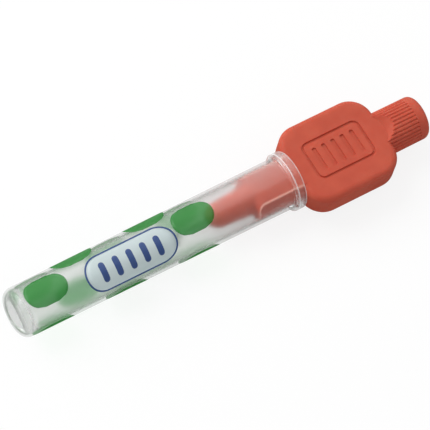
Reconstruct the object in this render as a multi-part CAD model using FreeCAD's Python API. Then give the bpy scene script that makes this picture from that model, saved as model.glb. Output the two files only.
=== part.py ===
import FreeCAD
import Part

import math
import os

Vector = FreeCAD.Vector

# An interdental brush with its cap pushed on, in millimetres. The long axis runs along +X from the cap's
# closed end to the grip stub, and +Z is square to the paddle's faces. The solids are drawn about that axis
# with X = 0 where the cap's rim meets the paddle, and are moved at the end, so that the origin lies under
# the middle of the part, on the surface that the cap's collar lies on.

# Paddle: the flat finger grip in the middle of the moulded handle.
PADDLE_LENGTH = 13.1
PADDLE_WIDTH = 11.2
PADDLE_THICKNESS = 3.9
PADDLE_CORNER_RADIUS = 3.0
PADDLE_EDGE_RADIUS = 0.8

# Grip panel: a framed row of bars, sunk in both faces of the paddle.
PANEL_END_MARGIN = 2.35
PANEL_SIDE_MARGIN = 2.9
PANEL_CORNER_RADIUS = 1.0
PANEL_DEPTH = 0.22
PANEL_LINE_WIDTH = 0.36
PANEL_WALL_SLOPE_SHARE = 0.45
GRIP_BAR_WIDTH = 0.6
GRIP_BAR_SPACING = 1.35
GRIP_BAR_MARGIN = 0.7

# Stub: the ribbed round end of the handle, which the cap also fits, so that it lengthens the handle.
STUB_LENGTH = 5.7
STUB_END_RADIUS = 0.8
STUB_LAND_LENGTH = 0.7
GROOVE_COUNT = 36
GROOVE_WIDTH = 0.3
GROOVE_DEPTH = 0.13
RIB_SWELL = 0.04

# Tongue: the rounded end of the paddle's face, cut into the stub.
TONGUE_REACH = 0.2
TONGUE_WALL_SLOPE_SHARE = 1.1

# Plug and neck: the handle's nose, which the cap is pushed on to.
PLUG_LENGTH = 6.4
PLUG_END_RADIUS = 0.9
PUSH_CLEARANCE = 0.05
NECK_BASE_DIAMETER = 3.8
NECK_SHOULDER_DIAMETER = 3.3
NECK_SHOULDER_LENGTH = 3.9
NOSE_LENGTH = 1.9
NOSE_TIP_DIAMETER = 1.3
NOSE_BULGE_SHARE = 0.14

# Wire: one steel wire, folded at the tip and twisted on itself.
WIRE_DIAMETER = 0.26
TWIST_PITCH = 1.6
WIRE_GRIP_LENGTH = 7.0
TWIST_IN_HANDLE = 3.0
WIRE_HOLE_CLEARANCE = 0.02
BARE_WIRE_LENGTH = 4.0
WIRE_TIP_LENGTH = 0.9
GAP_POINTS = 1600

# Bristles: nylon filaments held between the two strands, so that they stand out along the twist.
FILAMENT_DIAMETER = 0.08
FILAMENT_CLEARANCE = 0.012
FILAMENT_GAP = 0.02
FILAMENT_SIDES = 6
BRISTLE_TURNS = 7
BRISTLE_BASE_DIAMETER = 3.0
BRISTLE_TIP_DIAMETER = 2.5

# Cap: a closed tube with a flared collar at its mouth.
CAP_MOUTH_DIAMETER = 6.7
CAP_END_DIAMETER = 6.4
CAP_WALL = 0.45
CAP_END_WALL = 1.3
CAP_END_RADIUS = 1.2
BORE_END_RADIUS = 0.8
TIP_ROOM = 9.8
SOCKET_MARGIN = 0.8
RELIEF_DEPTH = 1.2
RELIEF_STEP = 0.15
COLLAR_HEIGHT = 0.45
COLLAR_LENGTH = 1.8
COLLAR_FLARE = 0.7
COLLAR_EDGE_RADIUS = 0.3

# One overrun serves every cut.
OVERRUN = 0.5

# The angle, in radians, under which an arc is drawn as a straight line.
STRAIGHT_ANGLE = 1e-6

X_AXIS = Vector(1, 0, 0)
Z_AXIS = Vector(0, 0, 1)
CENTRE = Vector(0, 0, 0)

# What follows from the driving sizes: the plug and the stub from the cap's bore, the two strands' distance
# from a filament, and the cap's length from the brush inside it.
BORE_DIAMETER = CAP_MOUTH_DIAMETER - 2 * CAP_WALL
BORE_END_DIAMETER = CAP_END_DIAMETER - 2 * CAP_WALL
COLLAR_DIAMETER = CAP_MOUTH_DIAMETER + 2 * COLLAR_HEIGHT
STUB_DIAMETER = BORE_DIAMETER - 2 * PUSH_CLEARANCE
STRAND_RADIUS = (WIRE_DIAMETER + FILAMENT_DIAMETER) / 2 + FILAMENT_CLEARANCE
WIRE_HOLE_RADIUS = STRAND_RADIUS + WIRE_DIAMETER / 2 + WIRE_HOLE_CLEARANCE
BRISTLE_LENGTH = BRISTLE_TURNS * TWIST_PITCH
NECK_TIP_X = -PLUG_LENGTH - NECK_SHOULDER_LENGTH - NOSE_LENGTH
STRAIGHT_LEG_X = NECK_TIP_X + TWIST_IN_HANDLE
BRISTLE_START_X = NECK_TIP_X - BARE_WIRE_LENGTH
WIRE_TIP_X = BRISTLE_START_X - BRISTLE_LENGTH - WIRE_TIP_LENGTH
FOLD_X = WIRE_TIP_X + STRAND_RADIUS + WIRE_DIAMETER / 2
CAP_LENGTH = TIP_ROOM + CAP_END_WALL - WIRE_TIP_X
STUB_END_X = PADDLE_LENGTH + STUB_LENGTH
SEAT_X = (CAP_LENGTH - STUB_END_X) / 2
AXIS_HEIGHT = COLLAR_DIAMETER / 2


def quarter_arc(start, end, centre):
    """The quarter circle from start to end about centre."""
    radius = (start - centre).Length
    middle = centre + ((start + end) / 2 - centre).normalize() * radius
    return Part.Arc(start, middle, end).toShape()


def straight_edges(*points):
    """The straight edges that join points in turn."""
    return [Part.LineSegment(start, end).toShape() for start, end in zip(points, points[1:])]


def tangent_arc(start, direction, end):
    """The arc that leaves start along direction and reaches end."""
    chord = end - start
    straight = direction.getAngle(chord)
    if straight < STRAIGHT_ANGLE:
        return Part.LineSegment(start, end).toShape()
    bisector = (direction + chord.normalize()).normalize()
    middle = start + bisector * ((end - start).Length / 2 / math.cos(straight / 2))
    return Part.Arc(start, middle, end).toShape()


def biarc(first, last):
    """Two arcs that join two stations and keep the direction at both."""
    (start, start_way), (end, end_way) = first, last
    reach = end - start
    both_ways = start_way + end_way
    turn = 2 * (1 - start_way.dot(end_way))
    along = reach.dot(both_ways)
    if turn < STRAIGHT_ANGLE ** 2:
        arm = reach.dot(reach) / (2 * along)
    else:
        arm = (math.sqrt(along * along + turn * reach.dot(reach)) - along) / turn
    joint = (start + start_way * arm + end - end_way * arm) / 2
    back = tangent_arc(end, end_way * -1, joint)
    return [tangent_arc(start, start_way, joint), back]


def rounded_rectangle(length, width, radius, centre_x, height):
    """A closed outline in the plane at one height, with its middle on the X axis."""
    edges = []
    along, across = length / 2 - radius, width / 2 - radius
    corners = [(1, 1), (-1, 1), (-1, -1), (1, -1)]
    ends = []
    for side_x, side_y in corners:
        corner_centre = Vector(centre_x + side_x * along, side_y * across, height)
        on_end = corner_centre + Vector(side_x * radius, 0, 0)
        on_side = corner_centre + Vector(0, side_y * radius, 0)
        first, last = (on_end, on_side) if side_x * side_y > 0 else (on_side, on_end)
        ends.append((first, last, corner_centre))
    for index, (first, last, corner_centre) in enumerate(ends):
        edges.append(quarter_arc(first, last, corner_centre))
        edges.append(Part.LineSegment(last, ends[(index + 1) % len(ends)][0]).toShape())
    return Part.Wire(edges)


def revolve_about_x(edges):
    """A solid turned about the X axis from a closed profile of points (x, radius)."""
    return Part.Face(Part.Wire(edges)).revolve(CENTRE, X_AXIS, 360)


def profile_point(x, radius):
    return Vector(x, radius, 0)


def sunk_shape(length, width, radius, centre_x):
    """A tool that sinks one drafted rounded recess into the paddle's upper face."""
    face = PADDLE_THICKNESS / 2
    draft = PANEL_DEPTH * PANEL_WALL_SLOPE_SHARE
    floor = rounded_rectangle(length - draft, width - draft, radius - draft / 2, centre_x, face - PANEL_DEPTH)
    mouth = rounded_rectangle(length + draft, width + draft, radius + draft / 2, centre_x, face + PANEL_DEPTH)
    return Part.makeLoft([floor, mouth], True, True)


def raised_shape(length, width, radius, centre_x):
    """The island that stays standing inside the panel's line, with the opposite draft."""
    face = PADDLE_THICKNESS / 2
    draft = PANEL_DEPTH * PANEL_WALL_SLOPE_SHARE
    foot = rounded_rectangle(length + draft, width + draft, radius + draft / 2, centre_x, face - PANEL_DEPTH)
    top = rounded_rectangle(length - draft, width - draft, radius - draft / 2, centre_x, face + PANEL_DEPTH)
    return Part.makeLoft([foot, top], True, True)


def panel_tools():
    """The panel's line and its bars, as tools for both faces of the paddle."""
    middle = PADDLE_LENGTH / 2
    length = PADDLE_LENGTH - 2 * PANEL_END_MARGIN
    width = PADDLE_WIDTH - 2 * PANEL_SIDE_MARGIN
    inner_length, inner_width = length - 2 * PANEL_LINE_WIDTH, width - 2 * PANEL_LINE_WIDTH
    line = sunk_shape(length, width, PANEL_CORNER_RADIUS, middle)
    island = raised_shape(inner_length, inner_width, PANEL_CORNER_RADIUS - PANEL_LINE_WIDTH, middle)
    upper = [line.cut(island)]
    bar_length = inner_width - 2 * GRIP_BAR_MARGIN
    bar_radius = (GRIP_BAR_WIDTH - PANEL_DEPTH * PANEL_WALL_SLOPE_SHARE) / 2
    last_bar = math.floor((inner_length - GRIP_BAR_WIDTH - 2 * GRIP_BAR_MARGIN) / GRIP_BAR_SPACING)
    for bar in range(last_bar + 1):
        bar_x = middle + (bar - last_bar / 2) * GRIP_BAR_SPACING
        upper.append(sunk_shape(GRIP_BAR_WIDTH, bar_length, bar_radius, bar_x))
    lower = [tool.mirror(CENTRE, Z_AXIS) for tool in upper]
    return upper + lower


def paddle():
    outline = rounded_rectangle(
        PADDLE_LENGTH, PADDLE_WIDTH, PADDLE_CORNER_RADIUS, PADDLE_LENGTH / 2, -PADDLE_THICKNESS / 2
    )
    plate = Part.Face(outline).extrude(Vector(0, 0, PADDLE_THICKNESS))
    face_edges = [edge for edge in plate.Edges if edge.BoundBox.ZLength < PADDLE_EDGE_RADIUS]
    return plate.makeFillet(PADDLE_EDGE_RADIUS, face_edges)


def stub():
    """The ribbed round end, with the paddle's face cut into it above and below as a rounded tongue.

    The ribs swell towards the paddle, so that a cap pushed over this end wedges on them.
    """
    radius = STUB_DIAMETER / 2
    start = PADDLE_LENGTH + TONGUE_REACH - radius
    land_end = STUB_END_X - STUB_END_RADIUS
    groove_end = land_end - STUB_LAND_LENGTH
    root = profile_point(start, radius + RIB_SWELL)
    land_edge = profile_point(land_end, radius)
    end_face = profile_point(STUB_END_X, radius - STUB_END_RADIUS)
    start_axis = profile_point(start, 0)
    edges = straight_edges(start_axis, root, profile_point(groove_end, radius), land_edge)
    edges.append(quarter_arc(land_edge, end_face, profile_point(land_end, radius - STUB_END_RADIUS)))
    edges += straight_edges(end_face, profile_point(STUB_END_X, 0), start_axis)
    bar = revolve_about_x(edges)

    groove_start = start - OVERRUN
    corners = [
        Vector(groove_start, radius - GROOVE_DEPTH, 0),
        Vector(groove_start, radius + GROOVE_DEPTH, GROOVE_WIDTH),
        Vector(groove_start, radius + GROOVE_DEPTH, -GROOVE_WIDTH),
    ]
    groove = Part.Face(Part.makePolygon(corners + corners[:1])).extrude(X_AXIS * (groove_end - groove_start))
    grooves = []
    for index in range(GROOVE_COUNT):
        turned = groove.copy()
        turned.rotate(CENTRE, X_AXIS, 360 * (index + 0.5) / GROOVE_COUNT)
        grooves.append(turned)
    bar = bar.cut(grooves)

    face = PADDLE_THICKNESS / 2
    height = max(radius - face, 0) + OVERRUN
    mouth_radius = radius + height * TONGUE_WALL_SLOPE_SHARE
    upper = Part.makeCone(radius, mouth_radius, height, Vector(start, 0, face), Z_AXIS)
    return bar.cut([upper, upper.mirror(CENTRE, Z_AXIS)])


def plug():
    """A flat plug, flush with the paddle's faces, whose two round sides fit the cap's bore."""
    radius = BORE_DIAMETER / 2 - PUSH_CLEARANCE
    length = PLUG_LENGTH + PADDLE_EDGE_RADIUS
    bar = Part.makeCylinder(radius, length, Vector(-PLUG_LENGTH, 0, 0), X_AXIS)
    corner = Vector(-PLUG_LENGTH, -radius, -PADDLE_THICKNESS / 2)
    slab = Part.makeBox(length, 2 * radius, PADDLE_THICKNESS, corner)
    end_edges = [
        edge for edge in slab.Edges
        if edge.BoundBox.XMax < 0 and edge.BoundBox.YLength > radius
    ]
    return bar.common(slab.makeFillet(PLUG_END_RADIUS, end_edges))


def neck():
    """The round neck between the plug and the wire, with a bulging nose."""
    root = profile_point(OVERRUN - PLUG_LENGTH, NECK_BASE_DIAMETER / 2)
    base = profile_point(-PLUG_LENGTH, NECK_BASE_DIAMETER / 2)
    shoulder = profile_point(-PLUG_LENGTH - NECK_SHOULDER_LENGTH, NECK_SHOULDER_DIAMETER / 2)
    tip = profile_point(NECK_TIP_X, NOSE_TIP_DIAMETER / 2)
    chord = tip - shoulder
    bulge = (shoulder + tip) / 2 + Vector(chord.y, -chord.x, 0) * NOSE_BULGE_SHARE
    tip_axis = profile_point(NECK_TIP_X, 0)
    root_axis = profile_point(OVERRUN - PLUG_LENGTH, 0)
    edges = straight_edges(tip_axis, root_axis, root, base, shoulder)
    edges.append(Part.Arc(shoulder, bulge, tip).toShape())
    edges += straight_edges(tip, tip_axis)
    return revolve_about_x(edges)


def handle():
    """The one moulding: stub, paddle, plug and neck, with both panels and the blind hole for the wire."""
    hole_start = NECK_TIP_X - OVERRUN
    hole_end = NECK_TIP_X + WIRE_GRIP_LENGTH
    hole = Part.makeCylinder(WIRE_HOLE_RADIUS, hole_end - hole_start, Vector(hole_start, 0, 0), X_AXIS)
    body = paddle().fuse([stub(), plug(), neck()]).removeSplitter()
    return body.cut(panel_tools() + [hole])


def cap():
    """The tube, turned from one profile: closed end, drafted wall, flared collar, relieved mouth and bore."""
    end, inner_end = -CAP_LENGTH, CAP_END_WALL - CAP_LENGTH
    end_radius, collar_radius = CAP_END_DIAMETER / 2, COLLAR_DIAMETER / 2
    bore, bore_end = BORE_DIAMETER / 2, BORE_END_DIAMETER / 2
    relief_radius = bore + RELIEF_STEP
    end_face = profile_point(end, end_radius - CAP_END_RADIUS)
    wall_end = profile_point(end + CAP_END_RADIUS, end_radius)
    end_centre = profile_point(end + CAP_END_RADIUS, end_radius - CAP_END_RADIUS)
    collar_foot = profile_point(-COLLAR_LENGTH, CAP_MOUTH_DIAMETER / 2)
    collar_top = profile_point(COLLAR_FLARE - COLLAR_LENGTH, collar_radius)
    collar_edge = profile_point(-COLLAR_EDGE_RADIUS, collar_radius)
    rim = profile_point(0, collar_radius - COLLAR_EDGE_RADIUS)
    rim_centre = profile_point(-COLLAR_EDGE_RADIUS, collar_radius - COLLAR_EDGE_RADIUS)
    mouth = profile_point(0, relief_radius)
    relief_end = profile_point(-RELIEF_DEPTH, relief_radius)
    socket_mouth = profile_point(-RELIEF_DEPTH - RELIEF_STEP, bore)
    socket_end = profile_point(-PLUG_LENGTH - SOCKET_MARGIN, bore)
    bore_wall_end = profile_point(inner_end + BORE_END_RADIUS, bore_end)
    floor_edge = profile_point(inner_end, bore_end - BORE_END_RADIUS)
    floor_centre = profile_point(inner_end + BORE_END_RADIUS, bore_end - BORE_END_RADIUS)
    edges = straight_edges(profile_point(inner_end, 0), profile_point(end, 0), end_face)
    edges.append(quarter_arc(end_face, wall_end, end_centre))
    edges += straight_edges(wall_end, collar_foot)
    edges += biarc((collar_foot, X_AXIS), (collar_top, X_AXIS))
    edges += straight_edges(collar_top, collar_edge)
    edges.append(quarter_arc(collar_edge, rim, rim_centre))
    edges += straight_edges(rim, mouth, relief_end, socket_mouth, socket_end, bore_wall_end)
    edges.append(quarter_arc(bore_wall_end, floor_edge, floor_centre))
    edges += straight_edges(floor_edge, profile_point(inner_end, 0))
    return revolve_about_x(edges)


def strand_station(x, turns, twisting):
    """A point of the wire's middle line at x, after so many turns, and its direction towards the tip."""
    angle = 2 * math.pi * turns
    around = Vector(0, -math.sin(angle), math.cos(angle))
    slope = 2 * math.pi * STRAND_RADIUS / TWIST_PITCH if twisting else 0
    point = Vector(x, STRAND_RADIUS * math.cos(angle), STRAND_RADIUS * math.sin(angle))
    return point, (around * slope - X_AXIS).normalize()


def strand_turns(x):
    """How many turns a strand has made at x, counted from where its straight leg ends."""
    return (STRAIGHT_LEG_X - x) / TWIST_PITCH


def strand_stations():
    """The stations of one strand, from the end of its straight leg in the handle to the fold at the tip."""
    quarter = TWIST_PITCH / 4
    first_x, last_x = STRAIGHT_LEG_X - quarter, FOLD_X + quarter
    steps = math.ceil((first_x - last_x) / quarter)
    stations = [strand_station(STRAIGHT_LEG_X, strand_turns(STRAIGHT_LEG_X - quarter / 2), False)]
    for step in range(steps + 1):
        x = first_x + (last_x - first_x) * step / steps
        stations.append(strand_station(x, strand_turns(x), True))
    stations.append(strand_station(FOLD_X, strand_turns(FOLD_X + quarter / 2), False))
    return stations


def least_gap(path):
    """The least gap between the two strands of the twist, measured on points along the folded wire."""
    points = path.discretize(Number=GAP_POINTS)
    near = math.ceil(GAP_POINTS * 4 * STRAND_RADIUS / path.Length)
    gaps = []
    for index, point in enumerate(points):
        opposite = points[:max(0, index - near)]
        gaps += [point.distanceToPoint(other) for other in opposite]
    return min(gaps) - WIRE_DIAMETER


def wire():
    """One wire: two legs in the handle, two twisted strands, and the fold that joins them at the tip."""
    stations = strand_stations()
    leg_end, fold_start = stations[0][0], stations[-1][0]
    leg_start = leg_end + X_AXIS * (WIRE_GRIP_LENGTH - TWIST_IN_HANDLE)
    strand = [Part.LineSegment(leg_start, leg_end).toShape()]
    for before, after in zip(stations, stations[1:]):
        strand += biarc(before, after)
    other_strand = [edge.copy() for edge in strand]
    for edge in other_strand:
        edge.rotate(CENTRE, X_AXIS, 180)
    fold_end = Vector(FOLD_X, -fold_start.y, -fold_start.z)
    fold = Part.Arc(fold_start, Vector(FOLD_X - STRAND_RADIUS, 0, 0), fold_end).toShape()
    path = Part.Wire(strand + [fold] + other_strand[::-1])
    section = Part.Wire(Part.Circle(leg_start, X_AXIS, WIRE_DIAMETER / 2).toShape())
    tube = path.makePipeShell([section], True, False)
    radii = [edge.Curve.Radius for edge in path.Edges if hasattr(edge.Curve, "Radius")]
    share = tube.Volume / (math.pi * WIRE_DIAMETER ** 2 / 4 * path.Length)
    print("wire: tightest bend", round(min(radii), 3), "least gap", round(least_gap(path), 3))
    print("wire: volume against section times length", round(share, 4))
    return tube


def filament(x):
    """One straight filament across the twist at x, square to the line between the two strands."""
    along = (BRISTLE_START_X - x) / BRISTLE_LENGTH
    reach = (BRISTLE_BASE_DIAMETER + (BRISTLE_TIP_DIAMETER - BRISTLE_BASE_DIAMETER) * along) / 2
    corners = []
    for side in range(FILAMENT_SIDES + 1):
        angle = 2 * math.pi * side / FILAMENT_SIDES
        corners.append(Vector(math.cos(angle), math.sin(angle), 0) * (FILAMENT_DIAMETER / 2))
    prism = Part.Face(Part.makePolygon(corners)).extrude(Vector(0, 0, 2 * reach))
    prism.translate(Vector(x, 0, -reach))
    prism.rotate(CENTRE, X_AXIS, 360 * strand_turns(x))
    return prism


def bristle_turn(turn):
    """The filaments that stand in one turn of the twist, each a solid of its own."""
    count = math.floor(TWIST_PITCH / (FILAMENT_DIAMETER + FILAMENT_GAP))
    filaments = []
    for index in range(count):
        along = turn + (index + 0.5) / count
        filaments.append(filament(BRISTLE_START_X - along * TWIST_PITCH))
    return Part.makeCompound(filaments)


def main():
    os.makedirs("parts", exist_ok=True)
    place = Vector(SEAT_X, 0, AXIS_HEIGHT)
    nodes = {"handle": handle(), "cap": cap(), "wire": wire()}
    for turn in range(BRISTLE_TURNS):
        nodes[f"bristle_turn_{turn + 1}"] = bristle_turn(turn)
    for name, shape in nodes.items():
        shape.translate(place)
        shape.exportStep(f"parts/{name}.step")
        print(name, len(shape.Solids), "solids, valid", shape.isValid(), "volume", round(shape.Volume, 3))


main()
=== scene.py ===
import math
import random

import bmesh
import bpy
from mathutils import Matrix, Vector


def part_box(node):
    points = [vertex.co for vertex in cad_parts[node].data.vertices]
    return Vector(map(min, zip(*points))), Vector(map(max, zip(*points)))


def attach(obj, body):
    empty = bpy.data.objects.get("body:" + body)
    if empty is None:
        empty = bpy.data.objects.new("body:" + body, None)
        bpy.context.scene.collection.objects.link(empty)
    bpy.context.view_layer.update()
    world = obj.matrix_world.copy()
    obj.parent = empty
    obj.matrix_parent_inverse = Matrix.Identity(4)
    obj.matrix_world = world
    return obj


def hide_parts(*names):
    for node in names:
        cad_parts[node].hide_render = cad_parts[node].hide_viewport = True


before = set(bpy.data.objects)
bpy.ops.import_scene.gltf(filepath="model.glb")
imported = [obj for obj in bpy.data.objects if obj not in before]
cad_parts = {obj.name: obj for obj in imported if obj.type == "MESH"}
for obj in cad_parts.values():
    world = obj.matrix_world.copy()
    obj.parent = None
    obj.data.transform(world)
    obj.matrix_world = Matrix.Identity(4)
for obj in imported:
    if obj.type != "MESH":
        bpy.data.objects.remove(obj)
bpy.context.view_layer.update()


# Handle: one satin moulding in coral polypropylene, with a ribbed stub, a flat paddle for two
# fingers, a plug that the cap is pushed on to, and a neck that holds the wire. It has a very fine
# grain and a slightly uneven colour. A thin pale coral line along the plug's corners, inside the
# cap, is a painted highlight where the corners press on the cap's wall.

class Output:
    """One output of a shader node. Arithmetic on it adds Math nodes to the same tree."""

    def __init__(self, tree, socket):
        self.tree = tree
        self.socket = socket

    @classmethod
    def of_node(cls, tree, kind, settings, inputs, output=0):
        """Adds a node, sets what it is given, and returns one of its outputs."""
        node = tree.nodes.new(kind)
        for name, value in settings.items():
            if name == "stops":
                for element, (place, colour) in zip(node.color_ramp.elements, value):
                    element.position = place
                    element.color = (*colour, 1.0)
            else:
                setattr(node, name, value)
        for name, value in inputs.items():
            if isinstance(value, Output):
                tree.links.new(value.socket, node.inputs[name])
            else:
                node.inputs[name].default_value = value
        return cls(tree, node.outputs[output])

    def maths(self, operation, other=0.0, swapped=False):
        first, second = (other, self) if swapped else (self, other)
        return Output.of_node(
            self.tree, "ShaderNodeMath", {"operation": operation}, {0: first, 1: second}
        )

    def __add__(self, other):
        return self.maths("ADD", other)

    def __sub__(self, other):
        return self.maths("SUBTRACT", other)

    def __rsub__(self, other):
        return self.maths("SUBTRACT", other, swapped=True)

    def __mul__(self, other):
        return self.maths("MULTIPLY", other)

    __radd__ = __add__
    __rmul__ = __mul__


def new_tree(owner):
    owner.use_nodes = True
    owner.node_tree.nodes.clear()
    return owner.node_tree


def object_noise(tree, size, detail):
    """Noise whose blotches are about one size across, in metres."""
    place = Output.of_node(tree, "ShaderNodeTexCoord", {}, {}, "Object")
    return Output.of_node(
        tree, "ShaderNodeTexNoise", {}, {"Vector": place, "Scale": 1 / size, "Detail": detail}
    )


def bump(tree, height, depth, strength):
    """A normal for a surface whose relief is at most one depth, in metres."""
    return Output.of_node(
        tree, "ShaderNodeBump", {}, {"Height": height, "Distance": depth, "Strength": strength}
    )


def mix_shaders(tree, share, first, second):
    """The first shader, with a share of the second."""
    return Output.of_node(tree, "ShaderNodeMixShader", {}, {"Fac": share, 1: first, 2: second})


def surface(tree, shader):
    output = tree.nodes.new("ShaderNodeOutputMaterial")
    tree.links.new(shader.socket, output.inputs["Surface"])


def dress(name, material):
    """Gives a CAD node this material in place of its plain one."""
    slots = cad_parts[name].data.materials
    slots.clear()
    slots.append(material)


def round_axis(tree):
    """How far each point lies along the brush, out from its axis, and above the axis."""
    place = Output.of_node(tree, "ShaderNodeTexCoord", {}, {}, "Object")
    along = Output.of_node(tree, "ShaderNodeSeparateXYZ", {}, {"Vector": place}, "X")
    off_axis = Output.of_node(
        tree, "ShaderNodeVectorMath", {"operation": "MULTIPLY_ADD"},
        {0: place, 1: (0, 1, 1), 2: (0, 0, -axis_height)},
    )
    radius = Output.of_node(
        tree, "ShaderNodeVectorMath", {"operation": "LENGTH"}, {0: off_axis}, "Value"
    )
    height = Output.of_node(tree, "ShaderNodeSeparateXYZ", {}, {"Vector": off_axis}, "Z")
    return along, radius, height


def rise(value, start, full):
    """Rises smoothly from nought at start to one at full."""
    return Output.of_node(
        value.tree, "ShaderNodeMapRange", {"interpolation_type": "SMOOTHSTEP"},
        {"Value": value, "From Min": start, "From Max": full},
    )


CORAL = (0.575, 0.110, 0.066)
DEEP_CORAL = (0.520, 0.092, 0.056)
MOTTLE_SIZE = 0.0022
GRAIN_SIZE = 0.00012
GRAIN_DEPTH = 0.00001
PLUG_CORNER_HIGHLIGHT_CORAL = (0.86, 0.42, 0.34)
PLUG_CORNER_HIGHLIGHT_WIDTH = 0.00018
PLUG_LENGTH = 0.0064
PLUG_RADIUS = 0.00285
PLUG_HALF_HEIGHT = 0.00195
PLUG_END_ROUNDING = 0.0009

cap_low, cap_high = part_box("cap")
axis_height = (cap_low.z + cap_high.z) / 2

coral_plastic = bpy.data.materials.new("coral_plastic")
tree = new_tree(coral_plastic)
mottle = object_noise(tree, MOTTLE_SIZE, detail=3.0)
grain = object_noise(tree, GRAIN_SIZE, detail=2.0)
plain_colour = Output.of_node(
    tree, "ShaderNodeValToRGB", {"stops": [(0.3, DEEP_CORAL), (0.7, CORAL)]}, {"Fac": mottle}
)
along, radius, height = round_axis(tree)
# Painted highlight: a pale coral line in the base colour along the plug's corners inside the cap.
past_top = (height.maths("ABSOLUTE") - (PLUG_HALF_HEIGHT - PLUG_END_ROUNDING)).maths("MAXIMUM")
past_end = (cap_high.x - PLUG_LENGTH + PLUG_END_ROUNDING - along).maths("MAXIMUM")
from_core = (past_top * past_top + past_end * past_end).maths("SQRT")
on_face = rise(from_core, PLUG_END_ROUNDING - PLUG_CORNER_HIGHLIGHT_WIDTH, PLUG_END_ROUNDING)
on_side = rise(radius, PLUG_RADIUS - PLUG_CORNER_HIGHLIGHT_WIDTH, PLUG_RADIUS)
in_cap = along.maths("LESS_THAN", cap_high.x)
colour = Output.of_node(
    tree, "ShaderNodeMix", {"data_type": "RGBA"},
    {"Factor": on_face * on_side * in_cap, "A": plain_colour, "B": (*PLUG_CORNER_HIGHLIGHT_CORAL, 1.0)}, "Result",
)
surface(tree, Output.of_node(tree, "ShaderNodeBsdfPrincipled", {}, {
    "Base Color": colour,
    "Roughness": 0.45 + mottle * 0.12,
    "Normal": bump(tree, grain, GRAIN_DEPTH, strength=0.35),
    "Subsurface Weight": 0.4,
    "Subsurface Radius": (1.0, 0.22, 0.14),
    "Subsurface Scale": 0.0009,
    "Specular IOR Level": 0.1,
    "IOR": 1.49,
}))
dress("handle", coral_plastic)


# Wire: one bright steel wire, folded at the tip and twisted on itself. Its two ends are set in the
# neck of the handle as that is moulded, and drawing has left fine marks on it.

STEEL = (0.60, 0.60, 0.61)
DRAW_MARK_SIZE = 0.00006
DRAW_MARK_DEPTH = 0.000004

drawn_steel = bpy.data.materials.new("drawn_steel")
tree = new_tree(drawn_steel)
draw_marks = object_noise(tree, DRAW_MARK_SIZE, detail=2.0)
surface(tree, Output.of_node(tree, "ShaderNodeBsdfPrincipled", {}, {
    "Base Color": (*STEEL, 1.0),
    "Metallic": 1.0,
    "Roughness": 0.22 + draw_marks * 0.2,
    "Normal": bump(tree, draw_marks, DRAW_MARK_DEPTH, strength=0.3),
}))
dress("wire", drawn_steel)


# Bristles: clear nylon filaments, caught between the two strands as the wire is twisted, then
# trimmed to a cone. They stand out in a spiral, and no two bend quite alike.

NYLON = (0.86, 0.87, 0.85)
STREAK_SIZE = 0.0003
TWIST_PITCH = 0.0016
TURNS_BEFORE_BRISTLES = 4.375
FILAMENT_RADIUS = 0.000028
FILAMENTS_PER_TURN = 46
FILAMENT_BEND = 0.00016
FILAMENT_LEAN = 0.06
FILAMENT_SIDES = 5
FILAMENT_CUTS = 5
SHORTEST_TRIM = 0.93
LONGEST_TRIM = 0.99
BRISTLE_SEED = 7

clear_nylon = bpy.data.materials.new("clear_nylon")
tree = new_tree(clear_nylon)
streaks = object_noise(tree, STREAK_SIZE, detail=2.0)
surface(tree, Output.of_node(tree, "ShaderNodeBsdfPrincipled", {}, {
    "Base Color": (*NYLON, 1.0),
    "Roughness": 0.25 + streaks * 0.2,
    "Transmission Weight": 0.35,
    "IOR": 1.53,
}))

draw = random.Random(BRISTLE_SEED)


def add_filament(mesh, place, angle, reach):
    """One filament through the twist at place, square to it, with a slight bend at each end."""
    verts_before, edges_before = len(mesh.verts), len(mesh.edges)
    bmesh.ops.create_cone(
        mesh, cap_ends=True, segments=FILAMENT_SIDES,
        radius1=FILAMENT_RADIUS, radius2=FILAMENT_RADIUS, depth=2 * reach,
    )
    edges = list(mesh.edges)[edges_before:]
    long_edges = [edge for edge in edges if edge.calc_length() > reach]
    bmesh.ops.subdivide_edges(mesh, edges=long_edges, cuts=FILAMENT_CUTS)
    verts = list(mesh.verts)[verts_before:]
    bends = [(draw.uniform(-1, 1), draw.uniform(-1, 1)) for _ in range(2)]
    for vert in verts:
        along = vert.co.z / reach
        bend_x, bend_y = bends[along > 0]
        vert.co.x += bend_x * FILAMENT_BEND * along * along
        vert.co.y += bend_y * FILAMENT_BEND * along * along
    lean = Matrix.Rotation(draw.uniform(-1, 1) * FILAMENT_LEAN, 4, "Y")
    turn = Matrix.Rotation(angle, 4, "X") @ lean
    bmesh.ops.transform(mesh, matrix=Matrix.Translation(place) @ turn, verts=verts)


def link_mesh(name, mesh, material):
    """Makes a smooth object at the origin from a bmesh."""
    data = bpy.data.meshes.new(name)
    mesh.to_mesh(data)
    mesh.free()
    data.shade_smooth()
    data.materials.append(material)
    piece = bpy.data.objects.new(name, data)
    bpy.context.scene.collection.objects.link(piece)
    return piece


bristle_nodes = [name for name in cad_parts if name.startswith("bristle_turn_")]
bristle_start = max(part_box(name)[1].x for name in bristle_nodes)
for name in bristle_nodes:
    low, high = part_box(name)
    reach = (high.z - low.z) / 2
    mesh = bmesh.new()
    for index in range(FILAMENTS_PER_TURN):
        x = high.x - (index + 0.5) / FILAMENTS_PER_TURN * (high.x - low.x)
        turns = TURNS_BEFORE_BRISTLES + (bristle_start - x) / TWIST_PITCH
        trimmed = reach * draw.uniform(SHORTEST_TRIM, LONGEST_TRIM)
        add_filament(mesh, Vector((x, 0, axis_height)), 2 * math.pi * turns, trimmed)
    tuft = link_mesh(name.replace("bristle_turn", "bristles"), mesh, clear_nylon)
    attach(tuft, "brush")
    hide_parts(name)


# Cap: one moulding in natural polypropylene, a drafted tube with a closed end and a flared collar.
# It is glossy outside and matt in the bore, so what touches the wall shows clearly and what lies
# further in is blurred. Thin white lines round the collar's two sharp edges are a painted
# highlight.

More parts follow.
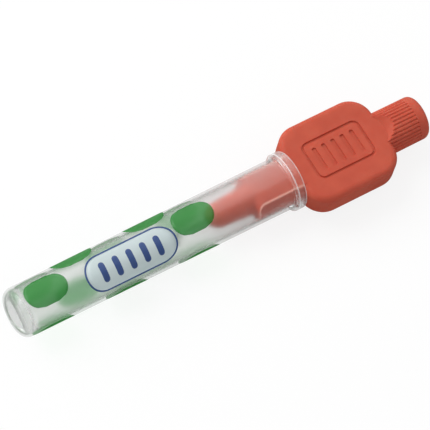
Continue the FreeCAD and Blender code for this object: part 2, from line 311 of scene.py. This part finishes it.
CLOUDY_WHITE = (0.93, 0.935, 0.93)
CLOUD_SIZE = 0.0035
WALL_SHADE = (0.97, 0.97, 0.97)
EDGE_SHADE = (0.88, 0.885, 0.88)
EDGE_HAZE_SHARE = 0.22
EDGE_START = 0.38
EDGE_FULL = 0.68
COLLAR_EDGES = (0.0001, 0.0011)
COLLAR_EDGE_WIDTH = 0.00016
COLLAR_PAINTED_HIGHLIGHT_SHARE = 0.6
WALL_MIDDLE_RADIUS = 0.00315
END_WALL_MIDDLE = 0.001
OUTSIDE_ROUGHNESS = 0.12
INSIDE_ROUGHNESS = 0.34


def ray_is(tree, kind):
    """One for light rays of a kind, and nought for the others."""
    return Output.of_node(tree, "ShaderNodeLightPath", {}, {}, f"Is {kind} Ray")


frosted_plastic = bpy.data.materials.new("frosted_plastic")
tree = new_tree(frosted_plastic)
cloud = object_noise(tree, CLOUD_SIZE, detail=3.0)
along, radius, _ = round_axis(tree)
at_end = along.maths("LESS_THAN", cap_low.x + END_WALL_MIDDLE)
outside = radius.maths("GREATER_THAN", WALL_MIDDLE_RADIUS).maths("MAXIMUM", at_end)
gloss = outside * (OUTSIDE_ROUGHNESS - INSIDE_ROUGHNESS)
frosted = Output.of_node(tree, "ShaderNodeBsdfPrincipled", {}, {
    "Base Color": (*CLOUDY_WHITE, 1.0),
    "Roughness": INSIDE_ROUGHNESS + cloud * 0.08 + gloss,
    "Transmission Weight": 1.0,
    "IOR": 1.45,
})
edge_clear = Output.of_node(tree, "ShaderNodeBsdfTransparent", {}, {"Color": (*EDGE_SHADE, 1.0)})
edge_haze_and_painted_highlight = Output.of_node(tree, "ShaderNodeBsdfDiffuse", {}, {"Color": (*CLOUDY_WHITE, 1.0)})
edge = mix_shaders(tree, EDGE_HAZE_SHARE, edge_clear, edge_haze_and_painted_highlight)
facing = Output.of_node(tree, "ShaderNodeLayerWeight", {}, {"Blend": 0.5}, "Facing")
clear_wall = mix_shaders(tree, rise(facing, EDGE_START, EDGE_FULL), frosted, edge)
# Painted highlight: thin lines of white diffuse round the collar's two sharp edges.
painted_highlight_line = 0
for distance in COLLAR_EDGES:
    from_edge = (along - (cap_high.x - distance)).maths("ABSOLUTE")
    painted_highlight_line += rise(from_edge, COLLAR_EDGE_WIDTH, 0)
wall = mix_shaders(tree, painted_highlight_line * outside * COLLAR_PAINTED_HIGHLIGHT_SHARE, clear_wall, edge_haze_and_painted_highlight)
see_through = Output.of_node(tree, "ShaderNodeBsdfTransparent", {}, {"Color": (*WALL_SHADE, 1.0)})
passing = ray_is(tree, "Shadow") + ray_is(tree, "Diffuse")
surface(tree, mix_shaders(tree, passing, wall, see_through))
dress("cap", frosted_plastic)


# Print on the cap: thin films of ink, screened on to the outside of the tube. Plain green pebbles
# stand in staggered rings, and make room for a pale panel with a dark line and a row of bars.

GREEN = (0.035, 0.285, 0.045)
GREEN_LIGHT = (0.68, 0.92, 0.72)
PALE_BLUE = (0.74, 0.82, 0.85)
PALE_LIGHT = (0.90, 0.93, 0.95)
NAVY = (0.050, 0.100, 0.300)
NAVY_LIGHT = (0.78, 0.80, 0.86)
SCREEN_SIZE = 0.0009
BACK_LIT_SHARE = 0.35
FAR_SHARE_LOST = 0.4
INK_THICKNESS = 0.00002
INK_STAND_OFF = 0.00001
END_RADIUS = 0.0032
COLLAR_FOOT_RADIUS = 0.00335
END_ROUNDING = 0.0012
COLLAR_LENGTH = 0.0018
PEBBLE_LENGTH = 0.0056
PEBBLE_WIDTH = 0.0038
PEBBLE_CUTS = 12
PEBBLES_ROUND = 3
PEBBLE_RINGS = 5
RING_SPACING = 0.0051
FIRST_RING = 0.0043
PANEL_LENGTH = 0.0125
PANEL_WIDTH = 0.0050
PANEL_CUTS = 16
PANEL_LINE = 0.00022
LINE_SEGMENTS = 62
PANEL_CENTRE = 0.0155
PANEL_ANGLE = math.radians(-22)
BAR_COUNT = 5
BAR_WIDTH = 0.0008
BAR_LENGTH = 0.0026
BAR_CUTS = 12
BAR_SPACING = 0.0019


def ink(name, colour, light, show_through):
    """Ink that shows a share of what lies behind it, and pales where seen through the cap."""
    material = bpy.data.materials.new(name)
    tree = new_tree(material)
    screen = object_noise(tree, SCREEN_SIZE, detail=2.0)
    lit = Output.of_node(tree, "ShaderNodeBsdfPrincipled", {}, {
        "Base Color": (*colour, 1.0),
        "Roughness": 0.3 + screen * 0.15,
    })
    back_lit = Output.of_node(tree, "ShaderNodeBsdfTranslucent", {}, {"Color": (*colour, 1.0)})
    solid = mix_shaders(tree, BACK_LIT_SHARE, lit, back_lit)
    clear = Output.of_node(tree, "ShaderNodeBsdfTransparent", {}, {"Color": (*light, 1.0)})
    passing = ray_is(tree, "Shadow") + ray_is(tree, "Diffuse") + show_through
    passing += ray_is(tree, "Transmission") * FAR_SHARE_LOST
    surface(tree, mix_shaders(tree, passing, solid, clear))
    return material


wall_start = cap_low.x + END_ROUNDING
wall_end = cap_high.x - COLLAR_LENGTH


def add_pill(mesh, length, width, cuts):
    """A flat patch with half-round ends, lengthways along X, as a grid of even cells."""
    made = bmesh.ops.create_grid(mesh, x_segments=cuts, y_segments=cuts, size=1)
    half_width = width / 2
    for vert in made["verts"]:
        across = vert.co.y * half_width
        half_length = length / 2 - half_width + math.sqrt(max(half_width ** 2 - across ** 2, 0))
        vert.co = Vector((vert.co.x * half_length, across, 0))
    return made["verts"]


def add_pill_line(mesh, length, width, line):
    """The outline of such a patch, as a ring of cells as wide as the line."""
    outer = bmesh.ops.create_circle(mesh, segments=LINE_SEGMENTS, radius=1)["verts"]
    made = bmesh.ops.extrude_edge_only(mesh, edges=mesh.edges[:])["geom"]
    inner = [item for item in made if isinstance(item, bmesh.types.BMVert)]
    straight = (length - width) / 2
    for verts, radius in ((outer, width / 2), (inner, width / 2 - line)):
        for vert in verts:
            end = math.copysign(straight, vert.co.x)
            vert.co = Vector((end + vert.co.x * radius, vert.co.y * radius, 0))


def wrap(verts, middle_x, middle_angle, lift):
    """Lays flat verts round the tube, which narrows towards its closed end."""
    for vert in verts:
        x = middle_x + vert.co.x
        along = (x - wall_start) / (wall_end - wall_start)
        radius = END_RADIUS + (COLLAR_FOOT_RADIUS - END_RADIUS) * along + INK_STAND_OFF + lift
        angle = middle_angle + vert.co.y / radius
        vert.co = Vector((x, radius * math.sin(angle), axis_height + radius * math.cos(angle)))


def print_film(name, mesh, material):
    """Gives flat ink its thickness, outwards, and makes it ride on the cap."""
    bmesh.ops.solidify(mesh, geom=mesh.faces[:], thickness=INK_THICKNESS)
    piece = link_mesh(name, mesh, material)
    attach(piece, "cap")


green_ink = ink("green_ink", GREEN, GREEN_LIGHT, show_through=0.3)
pale_ink = ink("pale_ink", PALE_BLUE, PALE_LIGHT, show_through=0.1)
navy_ink = ink("navy_ink", NAVY, NAVY_LIGHT, show_through=0.1)

panel_middle = cap_low.x + PANEL_CENTRE
pebbles = bmesh.new()
for ring in range(PEBBLE_RINGS):
    ring_x = cap_low.x + FIRST_RING + ring * RING_SPACING
    beyond_panel = abs(ring_x - panel_middle) > (PANEL_LENGTH + PEBBLE_LENGTH) / 2
    for index in range(PEBBLES_ROUND):
        angle = 2 * math.pi * (index + ring % 2 / 2) / PEBBLES_ROUND
        aside = abs(math.remainder(angle - PANEL_ANGLE, 2 * math.pi)) * END_RADIUS
        if beyond_panel or aside > (PANEL_WIDTH + PEBBLE_WIDTH) / 2:
            verts = add_pill(pebbles, PEBBLE_LENGTH, PEBBLE_WIDTH, PEBBLE_CUTS)
            wrap(verts, ring_x, angle, lift=0)
print_film("green_pebbles", pebbles, green_ink)

panel = bmesh.new()
verts = add_pill(panel, PANEL_LENGTH - 2 * PANEL_LINE, PANEL_WIDTH - 2 * PANEL_LINE, PANEL_CUTS)
wrap(verts, panel_middle, PANEL_ANGLE, lift=0)
print_film("pale_panel", panel, pale_ink)

marks = bmesh.new()
add_pill_line(marks, PANEL_LENGTH, PANEL_WIDTH, PANEL_LINE)
wrap(marks.verts, panel_middle, PANEL_ANGLE, lift=INK_THICKNESS)
for bar in range(BAR_COUNT):
    verts = add_pill(marks, BAR_LENGTH, BAR_WIDTH, BAR_CUTS)
    bmesh.ops.rotate(marks, matrix=Matrix.Rotation(math.pi / 2, 3, "Z"), verts=verts)
    bar_x = panel_middle + (bar - (BAR_COUNT - 1) / 2) * BAR_SPACING
    wrap(verts, bar_x, PANEL_ANGLE, lift=INK_THICKNESS)
print_film("navy_marks", marks, navy_ink)


# Floor: a plain pale sheet. The camera sees it white, with the brush's soft shadow on it, and
# greyer through the cap's cloudy wall. It throws a moderate light back up on the brush.

WHITE = (1.0, 1.0, 1.0)
FLOOR_SIZE = 3.0
FLOOR_WHITE = (0.97, 0.97, 0.97)
FLOOR_GREY = (0.76, 0.76, 0.76)
FLOOR_MIRRORED = (0.15, 0.15, 0.15)
FLOOR_GLOW_SHARE = 0.85
FLOOR_GLOW = 1.0
VEILED_GLOW = 0.74


def glowing_sheet(tree, glow):
    """A white sheet, most of whose light is its own, so that shadows on it are faint."""
    white = Output.of_node(tree, "ShaderNodeBsdfDiffuse", {}, {"Color": (*FLOOR_WHITE, 1.0)})
    own_light = Output.of_node(
        tree, "ShaderNodeEmission", {}, {"Color": (*WHITE, 1.0), "Strength": glow}
    )
    return mix_shaders(tree, FLOOR_GLOW_SHARE, white, own_light)


floor_sheet = bpy.data.materials.new("floor_sheet")
tree = new_tree(floor_sheet)
grey = Output.of_node(tree, "ShaderNodeBsdfDiffuse", {}, {"Color": (*FLOOR_GREY, 1.0)})
dim = Output.of_node(tree, "ShaderNodeBsdfDiffuse", {}, {"Color": (*FLOOR_MIRRORED, 1.0)})
bounced = mix_shaders(tree, ray_is(tree, "Glossy"), grey, dim)
veiled = mix_shaders(tree, ray_is(tree, "Transmission"), bounced, glowing_sheet(tree, VEILED_GLOW))
surface(tree, mix_shaders(tree, ray_is(tree, "Camera"), veiled, glowing_sheet(tree, FLOOR_GLOW)))
mesh = bmesh.new()
bmesh.ops.create_grid(mesh, x_segments=1, y_segments=1, size=FLOOR_SIZE / 2)
link_mesh("floor", mesh, floor_sheet)


# Light: a white room, and one large soft lamp behind the brush on the left, so that the upper
# faces are bright and the near sides fall into shade. What the plastic mirrors of the room is
# bright behind the brush and dim in front of it.

AMBIENT = 0.55
SEEN_THROUGH_CAP = 1.0
MIRRORED_IN_FRONT = 0.2
MIRRORED_BEHIND = 1.75
BAND_START = -0.32
BAND_FULL = -0.08
LAMP_DIRECTION = Vector((-0.33, 0.63, 0.77))
LAMP_DISTANCE = 0.5
LAMP_SIZE = 0.35
LAMP_WATTS = 1.85

world = bpy.data.worlds.new("studio")
bpy.context.scene.world = world
tree = new_tree(world)
direction = Output.of_node(tree, "ShaderNodeTexCoord", {}, {}, "Generated")
backwards = Output.of_node(tree, "ShaderNodeSeparateXYZ", {}, {"Vector": direction}, "Y")
behind = rise(backwards, BAND_START, BAND_FULL)
mirrored = MIRRORED_IN_FRONT + behind * (MIRRORED_BEHIND - MIRRORED_IN_FRONT)
strength = (
    AMBIENT
    + ray_is(tree, "Camera") * (1 - AMBIENT)
    + ray_is(tree, "Glossy") * (mirrored - AMBIENT)
    + ray_is(tree, "Transmission") * (SEEN_THROUGH_CAP - AMBIENT)
)
light = Output.of_node(
    tree, "ShaderNodeBackground", {}, {"Color": (*WHITE, 1.0), "Strength": strength}
)
output = tree.nodes.new("ShaderNodeOutputWorld")
tree.links.new(light.socket, output.inputs["Surface"])

lamp = bpy.data.lights.new("soft_lamp", "AREA")
lamp.size = LAMP_SIZE
lamp.energy = LAMP_WATTS
lamp_object = bpy.data.objects.new("soft_lamp", lamp)
lamp_object.location = LAMP_DIRECTION.normalized() * LAMP_DISTANCE
lamp_object.rotation_euler = LAMP_DIRECTION.to_track_quat("Z", "Y").to_euler()
bpy.context.scene.collection.objects.link(lamp_object)


# Camera: a long lens that looks down on the brush from its closed end, rolled so that the brush
# rises from the lower left of the picture to the upper right.

VIEW_AZIMUTH = math.radians(-46.3)
VIEW_ELEVATION = math.radians(63.1)
VIEW_ROLL = math.radians(16.8)
VIEW_DISTANCE = 0.45
VIEW_WIDTH = 0.05217
VIEW_OFFSET = (-0.00058, -0.00014)
SENSOR_WIDTH = 36.0
NEAREST_SEEN = 0.01

back = Vector((
    math.sin(VIEW_AZIMUTH) * math.cos(VIEW_ELEVATION),
    -math.cos(VIEW_AZIMUTH) * math.cos(VIEW_ELEVATION),
    math.sin(VIEW_ELEVATION),
))
level = Vector((math.cos(VIEW_AZIMUTH), math.sin(VIEW_AZIMUTH), 0))
upright = back.cross(level)
right = level * math.cos(VIEW_ROLL) + upright * math.sin(VIEW_ROLL)
up = upright * math.cos(VIEW_ROLL) - level * math.sin(VIEW_ROLL)
aim = Vector((0, 0, axis_height)) + right * VIEW_OFFSET[0] + up * VIEW_OFFSET[1]
camera = bpy.data.cameras.new("camera")
camera.sensor_width = SENSOR_WIDTH
camera.lens = SENSOR_WIDTH * VIEW_DISTANCE / VIEW_WIDTH
camera.clip_start = NEAREST_SEEN
camera_object = bpy.data.objects.new("camera", camera)
camera_object.matrix_world = Matrix.Translation(aim + back * VIEW_DISTANCE) @ Matrix(
    (right, up, back)
).transposed().to_4x4()
bpy.context.scene.collection.objects.link(camera_object)
bpy.context.scene.camera = camera_object
bpy.context.scene.view_settings.view_transform = "Standard"
